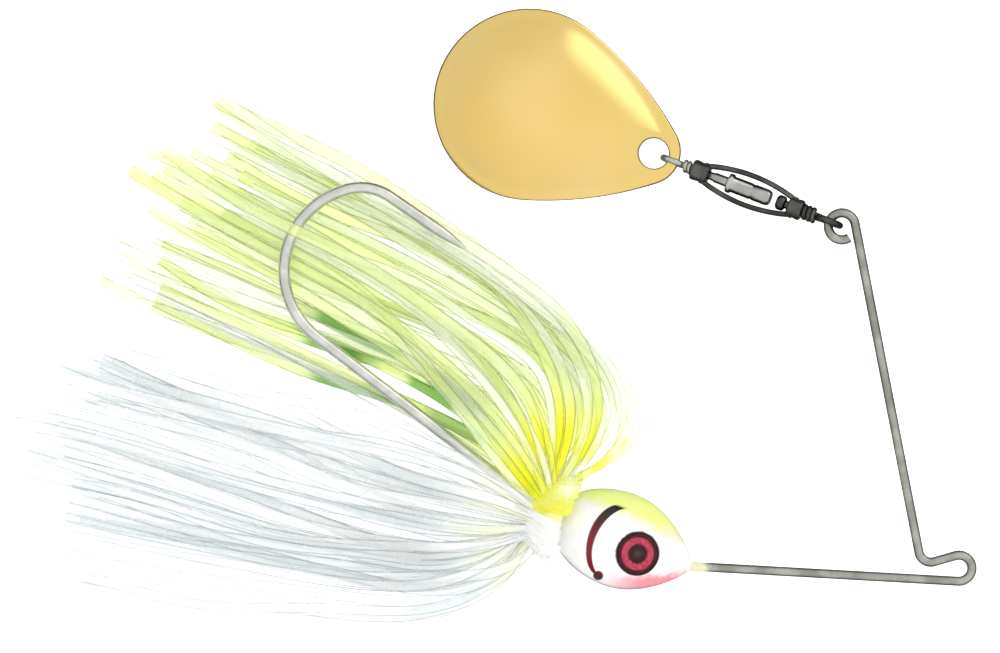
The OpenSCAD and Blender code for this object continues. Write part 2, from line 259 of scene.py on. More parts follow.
def eye_resin():
    m = Finish("eye_resin", Transmission_Weight=1.0, IOR=1.22)
    haze = m.noise(1.5, 2.0)
    m.set("Base Color", m.blend(haze, (0.99, 0.93, 0.93), (0.97, 0.88, 0.89)))
    m.set("Roughness", m.add("MapRange", haze, 0.3, 0.7, 0.015, 0.05).outputs[0])
    return m.material


def silicone(name, root, pale, deep, painted_edge_shade, glow):
    """Translucent fluorescent skirt silicone: pale or deep strands, with painted shade strong at the roots
    of the deep ones and painted darker shade along their cut edges. It has a painted glow, most at the
    roots, standing in for light through the strands. The tint of a strand, the way along it and its edges
    are stored on its mesh. A tint under 0 is a patch of painted green shade."""
    m = Finish(name, IOR=1.26, Transmission_Weight=0.8, Coat_Weight=0.2)
    tint, way, rim = (m.stored(key) for key in ("tint", "way", "rim"))
    flow = m.noise(0.3, 2.0)
    shade = m.smooth(m.math("ADD", tint, m.math("MULTIPLY", flow, 0.5)), 0.4, 0.95)
    colour = m.blend(shade, deep, pale)
    # painted shade: a strong yellow at the roots of the deep strands, where the strands crowd together
    painted_root_shade = m.math("MULTIPLY", m.smooth(way, 0.25, 0.10), m.smooth(shade, 0.9, 0.2))
    colour = m.blend(painted_root_shade, colour, root)
    # painted shade: dark green where the tint is under 0
    colour = m.blend(m.math("MULTIPLY", m.smooth(tint, -0.2, -0.9), 0.85), colour, (0.17, 0.43, 0.06))
    # painted shade: a darker colour along the strands' cut edges
    colour = m.blend(m.math("MULTIPLY", m.smooth(rim, 0.25, 1.0), 0.6), colour, painted_edge_shade)
    m.set("Base Color", colour)
    # painted glow: the strands give off light in their own colour, most near the roots
    share = m.add("MapRange", way, 0.12, 0.3, 0.68, 0.38).outputs[0]
    m.set("Emission Color", m.add("VectorMath", colour, operation="SCALE", Scale=share).outputs[0])
    m.set("Emission Strength", glow)
    m.set("Roughness", m.add("MapRange", flow, 0.3, 0.7, 0.16, 0.34).outputs[0])
    return m.material


def gold_plate():
    """Gold plate over a stamped sheet, darker along its sheared edges."""
    m = Finish("gold_plate", Metallic=1.0)
    wave = m.noise(0.12, 1.0)
    swirl = m.noise(9.0, 4.0, (0.1, 1, 1), BLADE_HEADING)
    colour = m.blend(m.smooth(wave, 0.3, 0.75), (0.91, 0.66, 0.21), (0.95, 0.70, 0.26))
    # darker colour along the rim and round the hole, from the stored edge attribute
    darker_edges = m.math("MULTIPLY", m.smooth(m.stored("edge"), 0.1, 1.0), 0.8)
    m.set("Base Color", m.blend(darker_edges, colour, (0.20, 0.15, 0.06)))
    m.set("Roughness", m.add("MapRange", swirl, 0.3, 0.7, 0.12, 0.19).outputs[0])
    m.bump(m.math("ADD", m.math("MULTIPLY", wave, 0.5), m.math("MULTIPLY", swirl, 0.015)), 0.16)
    return m.material


def wire_steel():
    """Drawn wire, with the head's paint run a few millimetres out along it; the pale run is partly real
    paint and partly a painted highlight where the wire shines next to the head.
    """
    m = Finish("wire_steel")
    marks = m.noise(7.0, 4.0, (0.1, 1, 1), 101)
    stains = m.noise(0.5, 3.0)
    metal = m.blend(m.smooth(stains, 0.35, 0.7), (0.34, 0.335, 0.30), (0.52, 0.515, 0.475))
    reach = m.along((1, 0, 0), NOSE)
    ragged = m.math("ADD", reach, m.math("MULTIPLY", m.noise(1.4, 3.0), 2.4))
    # partly real paint run and partly painted highlight: a pale yellowish sleeve on the wire next to the
    # head
    painted = m.math("MULTIPLY", m.smooth(ragged, 3.6, 2.4), m.smooth(m.along((0, 1, 0)), 8.0, 6.0))
    m.set("Base Color", m.blend(painted, metal, (0.74, 0.72, 0.45)))
    m.set("Metallic", m.math("SUBTRACT", 1.0, painted))
    m.set("Roughness", m.add("MapRange", marks, 0.3, 0.7, 0.22, 0.4).outputs[0])
    m.bump(marks, 0.012)
    return m.material


def band_rubber():
    m = Finish("band_rubber")
    grain = m.noise(5.0, 4.0)
    m.set("Base Color", m.blend(grain, (0.74, 0.8, 0.36), (0.86, 0.9, 0.5)))
    m.set("Roughness", m.add("MapRange", grain, 0.3, 0.7, 0.45, 0.65).outputs[0])
    m.bump(grain, 0.02)
    return m.material


# --- meshes ---------------------------------------------------------------------------------

def piece(name, points, faces, material, body, slot=None, replaces=(), sharp=40, **attributes):
    """A mesh piece from points in millimetres, riding on a body and standing for CAD nodes."""
    mesh = bpy.data.meshes.new(name)
    mesh.from_pydata((np.asarray(points, float) * MM).tolist(), [], [list(map(int, f)) for f in faces])
    mesh.validate()
    solid = bmesh.new()
    solid.from_mesh(mesh)
    bmesh.ops.recalc_face_normals(solid, faces=solid.faces)
    solid.to_mesh(mesh)
    solid.free()
    mesh.shade_smooth()
    mesh.set_sharp_from_angle(angle=math.radians(sharp))
    for key, values in attributes.items():
        mesh.attributes.new(key, "FLOAT", "POINT").data.foreach_set("value", np.asarray(values, np.float32))
    mesh.materials.append(material)
    obj = bpy.data.objects.new(name, mesh)
    bpy.context.collection.objects.link(obj)
    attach(obj, body)
    if replaces:
        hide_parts(*replaces)
    return obj


def grid_faces(rows, columns, wrapped=False):
    """Quads over rows of points. Each row is closed on itself, and wrapped joins the last to the first."""
    faces = []
    for r in range(rows if wrapped else rows - 1):
        low, high = r * columns, (r + 1) % rows * columns
        for c in range(columns):
            ahead = (c + 1) % columns
            faces.append((low + c, low + ahead, high + ahead, high + c))
    return faces


def full_turn(steps):
    """Angles of a whole turn in equal steps, from 0."""
    return [2 * math.pi * k / steps for k in range(steps)]


def lathe(profile, place, around=96):
    """Points and faces of a closed turned solid. Profile rows are [radius, height], and both ends
    are on the axis. Place is a 4x4 matrix in millimetres."""
    rows = [p for p in profile if p[0] > 1e-9]
    points = [(r * math.cos(a), r * math.sin(a), z) for r, z in rows for a in full_turn(around)]
    faces = grid_faces(len(rows), around)
    first, last = len(points), len(points) + 1
    points += [(0, 0, profile[0][1]), (0, 0, profile[-1][1])]
    base = (len(rows) - 1) * around
    faces += [(first, (k + 1) % around, k) for k in range(around)]
    faces += [(last, base + k, base + (k + 1) % around) for k in range(around)]
    return transform(points, place), faces


def closed_rows(rows):
    """Points and faces of a solid made of closed rows, the last of which joins the first."""
    points = np.array([p for row in rows for p in row], float)
    return points, grid_faces(len(rows), len(rows[0]), wrapped=True)


def turned_ring(outline, place, around=72):
    """A turned solid with a bore: a closed outline of [radius, height] swept round the axis."""
    rows = [[(r * math.cos(a), r * math.sin(a), z) for a in full_turn(around)] for r, z in outline]
    points, faces = closed_rows(rows)
    return transform(points, place), faces


def wire_ring(middle, x, y, radius, wire, around=64, sides=18):
    """A closed ring of round wire in the plane of x and y."""
    normal = np.cross(x, y)
    rows = []
    for a in full_turn(around):
        out = math.cos(a) * x + math.sin(a) * y
        rows.append([middle + radius * out + wire / 2 * (math.cos(b) * out + math.sin(b) * normal)
                     for b in full_turn(sides)])
    return closed_rows(rows)


def transform(points, place):
    points = np.asarray(points, float)
    matrix = np.array(place)
    return points @ matrix[:3, :3].T + matrix[:3, 3]


def basis(x, y, z, origin):
    m = np.eye(4)
    m[:3, 0], m[:3, 1], m[:3, 2], m[:3, 3] = x, y, z, origin
    return Matrix(m.tolist())


def unit(v):
    return v / np.linalg.norm(v)


def mix(a, b, f):
    return a + (b - a) * f


def sweep(path, section, up=UP):
    """Points and faces of a closed bar. Section gives the outline, as (across, up) pairs, at each
    place along the path."""
    path = np.asarray(path, float)
    ahead = np.gradient(path, axis=0)
    points, columns = [], None
    for i, at in enumerate(path):
        t = unit(ahead[i])
        across = unit(np.cross(up, t))
        over = np.cross(t, across)
        outline = section(i)
        columns = len(outline)
        points += [at + a * across + b * over for a, b in outline]
    rows = len(path)
    faces = grid_faces(rows, columns)
    faces += [tuple(range(columns - 1, -1, -1)), tuple((rows - 1) * columns + k for k in range(columns))]
    return np.array(points), faces


def circle(r, sides=20, flat=1.0):
    return [(r * math.cos(a), r * flat * math.sin(a)) for a in full_turn(sides)]


def bezier(p, steps):
    """The way along, from 0 to 1, and the points of a cubic curve with four control points."""
    way = np.linspace(0, 1, steps)
    t = way[:, None]
    u = 1 - t
    return way, u ** 3 * p[0] + 3 * u ** 2 * t * p[1] + 3 * u * t * t * p[2] + t ** 3 * p[3]


def join(parts):
    points, faces = [], []
    for p, f in parts:
        start = sum(len(q) for q in points)
        points.append(np.asarray(p))
        faces += [tuple(start + k for k in face) for face in f]
    return np.concatenate(points), faces


# --- head and eyes --------------------------------------------------------------------------

def head_r(s):
    """Radius of the head at a distance from the nose. It is thickest at a little over half its length."""
    t, thick = s / HEAD_L, 0.55
    if t < thick:
        return HEAD_D / 2 * math.sin(math.pi / 2 * t / thick) ** 0.74
    return HEAD_D / 2 * math.cos(math.radians(84) * (t - thick) / (1 - thick)) ** 0.38


def eye_place(side):
    """Matrix of one eye. Local +Z points out of the head."""
    turned = Matrix.Rotation(math.radians(HEAD_HEADING), 4, "Z")
    lean = Matrix.Rotation(math.radians(-EYE_LEAN), 4, "Y")
    near = Matrix.Translation(Vector(on_head(EYE_S, EYE_H, EYE_Z))) @ turned @ lean
    return near if side > 0 else Matrix.Scale(-1, 4, (0, 0, 1)) @ near


def head():
    """The painted head with its collar, whose bead keeps the skirt on, and a seat for each eye."""
    steps = 110
    along = [HEAD_L * (k / steps) ** 1.3 for k in range(steps + 1)]
    profile = [[head_r(s), s] for s in along]
    neck = profile[-1][0]
    c = COLLAR_D / 2
    profile += [[c + (neck - c) * (1 - math.sin(a)), HEAD_L + 0.25 * (1 - math.cos(a))]
                for a in np.linspace(0.2, math.pi / 2, 8)]
    end = HEAD_L + COLLAR_L
    profile += [[c, HEAD_L + 1.5], [c, end - 1.1], [c + 0.1, end - 0.95], [c + 0.38, end - 0.7],
                [c + 0.45, end - 0.45], [c + 0.38, end - 0.2], [c + 0.1, end - 0.04], [c - 0.5, end],
                [0, end]]
    place = basis(HEAD_SIDE, np.cross(HEAD_AXIS, HEAD_SIDE), HEAD_AXIS, NOSE)
    points, faces = lathe(profile, place, 192)
    for side in (1, -1):
        # the eye's seat: points over it are pressed down to its floor
        eye = np.array(eye_place(side))
        local = transform(points, np.linalg.inv(eye))
        r = np.hypot(local[:, 0], local[:, 1])
        pressed = (r < EYE_D / 2 + 0.02) & (local[:, 2] > -1.5)
        local[pressed, 2] = np.minimum(local[pressed, 2], -0.01)
        points = transform(local, eye)
    piece("painted_head", points, faces, head_paint(), "lure", "head_paint", ["lead_head"], 50)


def eyes():
    """A printed foil disc with a pressed ring on each side of the head, and a clear dome over it."""
    resin = eye_resin()
    r, foil_t, rim_h, dome_h = EYE_D / 2, 0.15, 0.19, 0.7
    foil = [[0, 0], [r - 0.03, 0], [r, 0.03], [r, 0.12], [r - 0.04, foil_t], [r - 0.25, foil_t],
            [r * 0.78, foil_t - 0.02], [r * 0.5, foil_t], [r * 0.22, foil_t], [0, foil_t]]
    dome_r, dome_floor = r - 0.01, foil_t + 0.002
    dome = [[0, dome_floor], [r - 0.05, dome_floor], [dome_r, rim_h]]
    for a in np.linspace(0.05, math.pi / 2 - 0.02, 22):
        dome.append([dome_r * math.cos(a), rim_h + dome_h * math.sin(a) ** 0.9])
    dome.append([0, rim_h + dome_h])
    for side, word in ((1, "near"), (-1, "far")):
        place = eye_place(side)
        points, faces = lathe(foil, place)
        paint = eye_print(word, place)
        piece(f"{word}_printed_foil", points, faces, paint, "lure", "eye_foil", [f"{word}_eye_foil"])
        points, faces = lathe(dome, place)
        piece(f"{word}_clear_dome", points, faces, resin, "lure", "eye_resin", [f"{word}_eye_dome"])


# --- hook -----------------------------------------------------------------------------------

def bend_path(start, degrees, legs, step=0.25):
    """Points along straight legs and turns, each leg being (length, turn, radius)."""
    at, path = np.array(start, float), [np.array(start, float)]
    for length, turn, radius in legs:
        if length:
            n = max(2, int(length / step / 2))
            path += [at + heading(degrees) * length * k / n for k in range(1, n + 1)]
            at = path[-1]
        if turn:
            side = math.copysign(1, turn)
            middle = at + side * radius * heading(degrees + 90)
            n = max(6, int(math.radians(abs(turn)) * radius / step))
            path += [middle + side * radius * heading(degrees + turn * k / n - 90) for k in range(1, n + 1)]
            at = path[-1]
            degrees += turn
    return np.array(path), degrees


HOOK_EYE_R = 1.45
HOOK_PATH, HOOK_END = bend_path(HOOK_EYE + HOOK_EYE_R * heading(HOOK_HEADING), HOOK_HEADING,
                                [(34.95, -123, 9.1), (0.4, -54, 5.6), (10.4, 0, 0)])


def hook():
    """The hook with its forged bend, ground point, sliced barb and the eye cast in the head."""
    walked = np.concatenate([[0], np.cumsum(np.linalg.norm(np.diff(HOOK_PATH, axis=0), axis=1))])
    whole = walked[-1]
    point_length, bend_start, bend_length = 4.6, 33, 27

    def section(i):
        left = min(1, (whole - walked[i]) / point_length)
        taper = min(1, 0.03 + 0.97 * math.sin(math.pi / 2 * left) ** 0.85)
        round_bend = min(1, max(0, (walked[i] - bend_start) / bend_length))
        return circle(HOOK_R * taper, 24, 1 - 0.08 * math.sin(math.pi * round_bend) ** 2)

    ahead, inner = heading(HOOK_END), heading(HOOK_END - 90)
    root = HOOK_PATH[-1] - 5.2 * ahead
    outline = [(0.0, 1.22), (0.14, 1.27), (0.9, 0.85), (2.2, 0.15), (1.4, -0.1), (0.5, 0.42)]
    barb = [root + ahead * a + inner * b + UP * z for z in (-0.2, 0.2) for a, b in outline]
    n = len(outline)
    sides = [tuple(range(n)), tuple(range(2 * n - 1, n - 1, -1))]
    sides += [(k, (k + 1) % n, (k + 1) % n + n, k + n) for k in range(n)]
    points, faces = join([sweep(HOOK_PATH, section), (barb, sides),
                          wire_ring(HOOK_EYE, heading(HOOK_HEADING), UP, HOOK_EYE_R, 1.36)])
    material = brushed("hook_steel", (0.84, 0.85, 0.79), (0.66, 0.67, 0.61), 0.2, HOOK_HEADING)
    piece("forged_hook", points, faces, material, "lure", "hook_steel", ["hook"], 35)


# --- swivel ---------------------------------------------------------------------------------

SWIVEL = (Matrix.Translation(Vector(LINK)) @ Matrix.Rotation(math.radians(SWIVEL_HEADING), 4, "Z")
          @ Matrix.Rotation(math.radians(SWIVEL_DIP), 4, "Y"))
SWIVEL_X, SWIVEL_Y, SWIVEL_Z = (np.array(SWIVEL)[:3, k] for k in range(3))
# the same place with the lathe's axis along the swivel
SWIVEL_LATHE = basis(SWIVEL_Y, SWIVEL_Z, SWIVEL_X, LINK)
COLLAR_END, FRONT_COLLAR, CAGE_END = 4.6, 14.5, 16.2


def cage_r(u):
    """Half the width of the swivel's cage at a distance from the rear eye."""
    t = min(1, max(0, (u - COLLAR_END) / (FRONT_COLLAR - COLLAR_END)))
    return mix(1.15, 1.9, math.sin(math.pi * t) ** 0.8)


def swivel_coil(start, pitch, turns, radius, wire, steps):
    """Wire wound round the swivel's axis, from a place along it."""
    path = []
    for a in np.linspace(0, turns * 2 * math.pi, steps):
        out = math.cos(a) * SWIVEL_Y + math.sin(a) * SWIVEL_Z
        path.append(LINK + (start + pitch * a / 2 / math.pi) * SWIVEL_X + radius * out)
    return sweep(path, lambda i: circle(wire / 2, 14), SWIVEL_X)


def cage(material):
    """Two drawn collars joined by two bowed side strips."""
    parts = []
    for a, b in ((3.2, COLLAR_END + 0.2), (FRONT_COLLAR - 0.2, CAGE_END)):
        outline = [[0.52, a + 0.1], [0.62, a], [1.0, a], [1.12, a + 0.12], [1.15, a + 0.3],
                   [1.08, (a + b) / 2], [1.15, b - 0.3], [1.12, b - 0.1], [1.0, b], [0.62, b],
                   [0.52, b - 0.1]]
        parts.append(turned_ring(outline, SWIVEL_LATHE))
    steps, half_thick = 60, 0.3

    def section(i):
        high = 0.55 + 0.22 * math.sin(math.pi * i / (steps - 1))
        outline = []
        for a in full_turn(20):
            across = half_thick * math.copysign(abs(math.cos(a)) ** 0.7, math.cos(a))
            outline.append((across, high * math.copysign(abs(math.sin(a)) ** 0.8, math.sin(a))))
        return outline

    for side in (1, -1):
        path = [LINK + u * SWIVEL_X + side * (cage_r(u) - 0.24) * SWIVEL_Y
                for u in np.linspace(COLLAR_END - 0.5, FRONT_COLLAR + 0.5, steps)]
        parts.append(sweep(path, section, SWIVEL_Z))
    points, faces = join(parts)
    piece("open_cage", points, faces, material, "cage", "nickel", ["swivel_cage"], 45)


def rear_eye(material):
    """A ring, its own wire wound back round the stem, and the stem's round head in the cage."""
    stem = [[0, 1.0], [0.45, 1.0], [0.45, 5.15], [0.62, 5.2], [0.8, 5.36], [0.85, 5.7], [0.8, 6.02],
            [0.6, 6.2], [0, 6.25]]
    points, faces = join([lathe(stem, SWIVEL_LATHE, 48), wire_ring(LINK, SWIVEL_X, SWIVEL_Z, 1.23, 0.76),
                          swivel_coil(1.72, 0.52, 2.6, 0.6, 0.6, 130)])
    piece("wound_rear_eye", points, faces, material, "rear_eye", "nickel", ["swivel_rear_eye"], 45)


def front_eye(material):
    """A ring on a neck, with a long turned barrel in the cage."""
    barrel = [[0, 6.9], [0.6, 6.9], [0.78, 7.0], [0.88, 7.3], [0.9, 7.5], [0.9, 8.9], [0.84, 9.0],
              [0.84, 9.15], [0.9, 9.25], [0.9, 11.35], [1.0, 11.45], [1.08, 11.55], [1.08, 11.9],
              [0.98, 12.0], [0.6, 12.1], [0.55, 12.3], [0.55, 13.5], [0.45, 13.7], [0.45, 17.2],
              [0, SWIVEL_L - 1.1]]
    middle = LINK + SWIVEL_L * SWIVEL_X
    points, faces = join([lathe(barrel, SWIVEL_LATHE, 64), wire_ring(middle, SWIVEL_X, SWIVEL_Z, 1.15, 0.7),
                          swivel_coil(16.42, 0.46, 1.6, 0.5, 0.48, 80)])
    piece("turned_front_eye", points, faces, material, "blade_link", "nickel", ["swivel_front_eye"], 45)


def swivel():
    bright = brushed("nickel_bright", (0.62, 0.63, 0.6), (0.42, 0.43, 0.4), 0.2, SWIVEL_HEADING)
    # painted shade: the cage and the rear eye take a much darker copy of the same nickel, standing in for
    # the shade on them
    dark = brushed("nickel_painted_shade", (0.16, 0.16, 0.15), (0.06, 0.06, 0.055), 0.26, SWIVEL_HEADING)
    cage(dark)
    rear_eye(dark)
    front_eye(bright)


# --- blade ----------------------------------------------------------------------------------

class BladeShape:
    """The blade's outline and cup, measured from the centre of its round end. Bearing 0 is the tip."""

    def __init__(self):
        self.round_r, self.tip_r, self.side_r = BLADE_W / 2, 3.7, 40.0
        self.tip_x = BLADE_L - self.round_r - self.tip_r
        a, b = self.side_r - self.tip_r, self.side_r - self.round_r
        self.side_x = (a * a - b * b - self.tip_x ** 2) / (-2 * self.tip_x)
        self.side_y = math.sqrt(b * b - self.side_x ** 2)
        self.round_bearing = math.atan2(self.side_y, -self.side_x)
        share = self.tip_r / a
        touch_x = self.tip_x + share * (self.tip_x - self.side_x)
        self.tip_bearing = math.atan2(share * self.side_y, touch_x)

    def outline_r(self, bearing):
        b = abs((bearing + math.pi) % (2 * math.pi) - math.pi)
        if b >= self.round_bearing:
            return self.round_r
        x, y, r = self.side_x, -self.side_y, self.side_r
        if b < self.tip_bearing:
            x, y, r = self.tip_x, 0, self.tip_r
        along = x * math.cos(b) + y * math.sin(b)
        return along + math.sqrt(along * along - x * x - y * y + r * r)

    def share(self, x, y):
        """The share of the way from the middle to the outline."""
        return math.hypot(x, y) / self.outline_r(math.atan2(y, x))

    def z(self, x, y):
        """Height of the cup, a little flatter towards the rim."""
        share = self.share(x, y)
        return CUP * (1 - share * share) + 0.6 * max(0, share - 0.88) ** 1.5 * self.round_r


def blade():
    """The cupped sheet round its hole, with a rounded sheared edge."""
    shape = BladeShape()
    reach = BLADE_L - shape.round_r
    land = 1.25
    link_out = reach - land / 2
    hole_x = link_out - land / 2 - HOLE_D / 2
    around, rings = 160, 44
    # rays from the hole's middle to the outline, closer together towards the round end
    rays = []
    for turn in full_turn(around):
        a = turn + 0.55 * math.sin(turn)
        low, high = 0.0, 40.0
        for _ in range(50):
            mid = (low + high) / 2
            if shape.share(hole_x + mid * math.cos(a), mid * math.sin(a)) < 1:
                low = mid
            else:
                high = mid
        rays.append((math.cos(a), math.sin(a), low))
    half, inset = BLADE_T / 2, 0.2

    def row(at, lift):
        """One closed row: at(reach of a ray) is the way out along it, lift the height over mid sheet."""
        out = []
        for c, s, rim in rays:
            d = at(rim)
            x, y = hole_x + d * c, d * s
            out.append((x, y, shape.z(x, y) + lift))
        return out

    inner = HOLE_D / 2 + inset
    spread = [(k / rings) ** 1.35 for k in range(rings + 1)]
    curl = [math.radians(d) for d in (60, 30, 0, -30, -60)]
    top = [row(lambda rim, f=f: inner + (rim - inset - inner) * f, half) for f in spread]
    rim_edge = [row(lambda rim, a=a: rim - inset + inset * math.cos(a), half * math.sin(a))
                for a in curl]
    below = [row(lambda rim, f=f: inner + (rim - inset - inner) * f, -half) for f in reversed(spread)]
    hole_edge = [row(lambda rim, a=a: inner - inset * math.cos(a), half * math.sin(a))
                 for a in reversed(curl)]
    points, faces = closed_rows(top + rim_edge + below + hole_edge)
    flat = [0.0] * len(spread)
    edge = np.repeat(flat + [1.0] * len(curl) + flat + [0.7] * len(curl), around)
    link_height = CUP * (1 - (link_out / reach) ** 2)
    place = (Matrix.Translation(Vector(FRONT_LINK)) @ Matrix.Rotation(math.radians(BLADE_HEADING), 4, "Z")
             @ Matrix.Rotation(math.radians(BLADE_DIP), 4, "Y") @ Matrix.Rotation(math.pi, 4, "Z")
             @ Matrix.Translation(Vector((-link_out, 0, -link_height))))
    points = transform(points, place)
    piece("gold_blade", points, faces, gold_plate(), "blade", "gold_plate", ["blade"], 60, edge=edge)


# --- skirt ----------------------------------------------------------------------------------

SKIRT = centre("skirt_band") * np.array([1, 1, 0])
STRAND_L = 56.0
LOCKS, STRANDS, STUBS = 6, 4, 3
# how near each point of a strand's section is to its cut edges
RIM = [1, 1, 0.8, 0, 0, 0.8] * 2


def strand_route(upper, side, f, rnd, layer):
    """Four control points of a strand at a share f of its fan, from the outermost to the innermost."""
    spread = min(1, max(0, f + rnd.uniform(-0.05, 0.05)))
    around = math.radians(mix(6, 84, spread))
    out = math.cos(around) if upper else -math.cos(around)
    root_r = 2.95 + 0.5 * rnd.random()
    outwards = out * HEAD_SIDE + side * math.sin(around) * UP
    root = SKIRT + root_r * outwards + rnd.uniform(-1.2, 1.2) * HEAD_AXIS
    start = (mix(10, 136, f ** 0.85) if upper else mix(258, 138, f)) + rnd.uniform(-7, 7) * (0.3 + f)
    reach = (mix(28.5, 15, f ** 0.6) if upper else mix(13, 17, f)) * rnd.uniform(0.84, 1.02)
    inner_tip = (141 if side > 0 else 153) if upper else (160 if side > 0 else 151)
    tip_heading = mix(125 if upper else 190, inner_tip, f ** 0.8) + rnd.uniform(-2.5, 2.5)
    length = STRAND_L * (rnd.uniform(0.84, 1.04) if upper else rnd.uniform(0.88, 1.045))
    tip = SKIRT + length * heading(tip_heading)
    end = (mix(148, 156, f) if upper else mix(167, 160, f)) + rnd.uniform(-6, 6)
    lift = (mix(1.9, 4.5, f) if side > 0 else mix(2.8, 4.4, f)) + 0.42 * (layer - 1.5)
    lift = side * min(4.7, max(1.5, lift))
    tip_z = mix(-1.0, 1.4, rnd.random()) if side > 0 else -mix(4.3, 4.9, rnd.random())
    return [root, root + reach * heading(start) + UP * (lift * 0.9 - root[2] * 0.6),
            tip - STRAND_L * rnd.uniform(0.44, 0.53) * heading(end) + UP * lift * 1.05, tip + UP * tip_z]


def under_the_bend(path, t, level):
    """Sinks a strand from over the hook to a level under it, where it is clear of the hook's wire."""
    way_down, near, clear = 0.26, 1.5, 1.2
    from_hook = np.linalg.norm(path[:, None, :2] - HOOK_PATH[None, :, :2], axis=2).min(axis=1)
    for begin in np.arange(0.20, 0.62, 0.02):
        sunk = np.clip((t - begin) / way_down, 0, 1)
        sunk = sunk * sunk * (3 - 2 * sunk)
        z = mix(path[:, 2], level, sunk)
        if not np.any((from_hook < near) & (np.abs(z) < clear)):
            path[:, 2] = z
            return
    # no way down is clear, so it stays over the wire
    path[:, 2] = np.maximum(path[:, 2], 1.3 - 3 * np.clip(from_hook - clear, 0, 1))


def wave(rnd, size, cycles, t):
    """A sine wave along t of a random size, number of cycles and phase."""
    return rnd.uniform(*size) * np.sin(2 * math.pi * (rnd.uniform(*cycles) * t + rnd.random()))


def strand(upper, side, f, rnd, layer):
    """One flat silicone strand: points, faces, its tint, the way along it and its edges."""
    t, path = bezier(strand_route(upper, side, f, rnd, layer), 60)
    swing = wave(rnd, (0.15, 0.7), (1.1, 2.6), t) * t ** 0.7
    ripple = wave(rnd, (0.04, 0.12), (2, 4), t) * t
    ahead = np.gradient(path, axis=0)
    ahead /= np.linalg.norm(ahead, axis=1)[:, None]
    path = path + swing[:, None] * np.cross(UP, ahead) + ripple[:, None] * UP
    if side > 0 and rnd.random() < 0.85:
        under_the_bend(path, t, -1.5 - 0.3 * layer)
    path[:, 2] = np.maximum(path[:, 2], FLOOR + 0.3)
    width, half = rnd.uniform(1.0, 1.45), rnd.uniform(0.13, 0.17)
    lean, twist = rnd.uniform(-0.25, 0.25), rnd.uniform(-0.45, 0.45)
    points, faces, rim = ribbon(path, width, half, lean, twist)
    tint = np.full(len(points), rnd.random())
    way = np.repeat(t, len(RIM))
    if upper and side < 0 and 0.73 < f < 0.90:
        # two patches of painted green shade on the strands that lie beside the hook
        for middle, length in ((0.36, 0.08), (0.62, 0.09)):
            tint -= 2 * np.exp(-((way - middle) / length) ** 2)
    return points, faces, tint, way, rim


def stub(upper, side, f, rnd):
    """The short end of a strand, turned out over the band towards the head."""
    around = math.radians(mix(3, 87, f))
    out = (math.cos(around) if upper else -math.cos(around)) * HEAD_SIDE + side * math.sin(around) * UP
    across = np.cross(out, HEAD_AXIS)
    near, far = rnd.uniform(3.0, 3.3), rnd.uniform(4.3, 5.2)
    ends = [(near, 1.0), (near + 0.9, 0.1), (far - 0.2, -1.5), (far, -rnd.uniform(2.4, 3.4))]
    p = [SKIRT + r * out + s * HEAD_AXIS + 0.4 * rnd.uniform(-1, 1) * across for r, s in ends]
    path = bezier(p, 16)[1]
    points, faces, rim = ribbon(path, rnd.uniform(1.0, 1.4), 0.15, 0, rnd.uniform(-0.4, 0.4), up=out)
    # the upper stubs take part of the painted yellow root shade, and every stub a weaker painted edge shade
    tint = np.full(len(points), 0.42 if upper else 1.0)
    return points, faces, tint, np.full(len(points), 0.1), 0.35 * rim


def ribbon(path, width, half, lean, twist, up=UP):
    """A flat bar with rounded edges along a path, and how near to its edges each point is."""
    t = np.linspace(0, 1, len(path))

    def section(i):
        w = width * (0.6 + 0.4 * min(1, 4 * t[i])) / 2
        corner = [(w, 0.6 * half), (w - 0.07, half), (w - 0.2, half)]
        one_side = [(w, -0.6 * half)] + corner + [(-x, y) for x, y in corner[:0:-1]]
        outline = one_side + [(-x, -y) for x, y in one_side]
        a = lean + twist * t[i]
        return [(x * math.cos(a) - y * math.sin(a), x * math.sin(a) + y * math.cos(a)) for x, y in outline]

    points, faces = sweep(path, section, up)
    return points, faces, np.tile(RIM, len(path))


def skirt():
    """A lock of strands, with stubs, for each lock of the CAD model."""
    rnd = random.Random(20)
    finishes = {
        # each silicone takes a painted root shade, a painted edge shade and a painted glow
        "chartreuse": silicone("chartreuse_silicone", root=(0.88, 0.86, 0.02), pale=(0.955, 0.98, 0.90),
                               deep=(0.86, 0.925, 0.54), painted_edge_shade=(0.30, 0.37, 0.09), glow=0.17),
        "white": silicone("white_silicone", root=(0.96, 0.96, 0.82), pale=(0.98, 0.985, 0.98),
                          deep=(0.90, 0.93, 0.935), painted_edge_shade=(0.36, 0.42, 0.44), glow=0.12)}
    for colour, finish in finishes.items():
        upper = colour == "chartreuse"
        for side, word in ((1, "near"), (-1, "far")):
            for i in range(LOCKS):
                made = []
                for k in range(STRANDS):
                    f = (i + (k + 0.5) / STRANDS + rnd.uniform(-0.15, 0.15)) / LOCKS
                    made.append(strand(upper, side, min(1, max(0, f)), rnd, (k * 2 + i) % 4))
                for k in range(STUBS):
                    made.append(stub(upper, side, (i + (k + 0.5) / STUBS) / LOCKS, rnd))
                points, faces = join([m[:2] for m in made])
                tint, way, rim = (np.concatenate([m[k] for m in made]) for k in (2, 3, 4))
                piece(f"{colour}_{word}_strands_{i + 1}", points, faces, finish, "lure",
                      f"{colour}_silicone", [f"{colour}_{word}_{i + 1}"], 30, tint=tint, way=way, rim=rim)


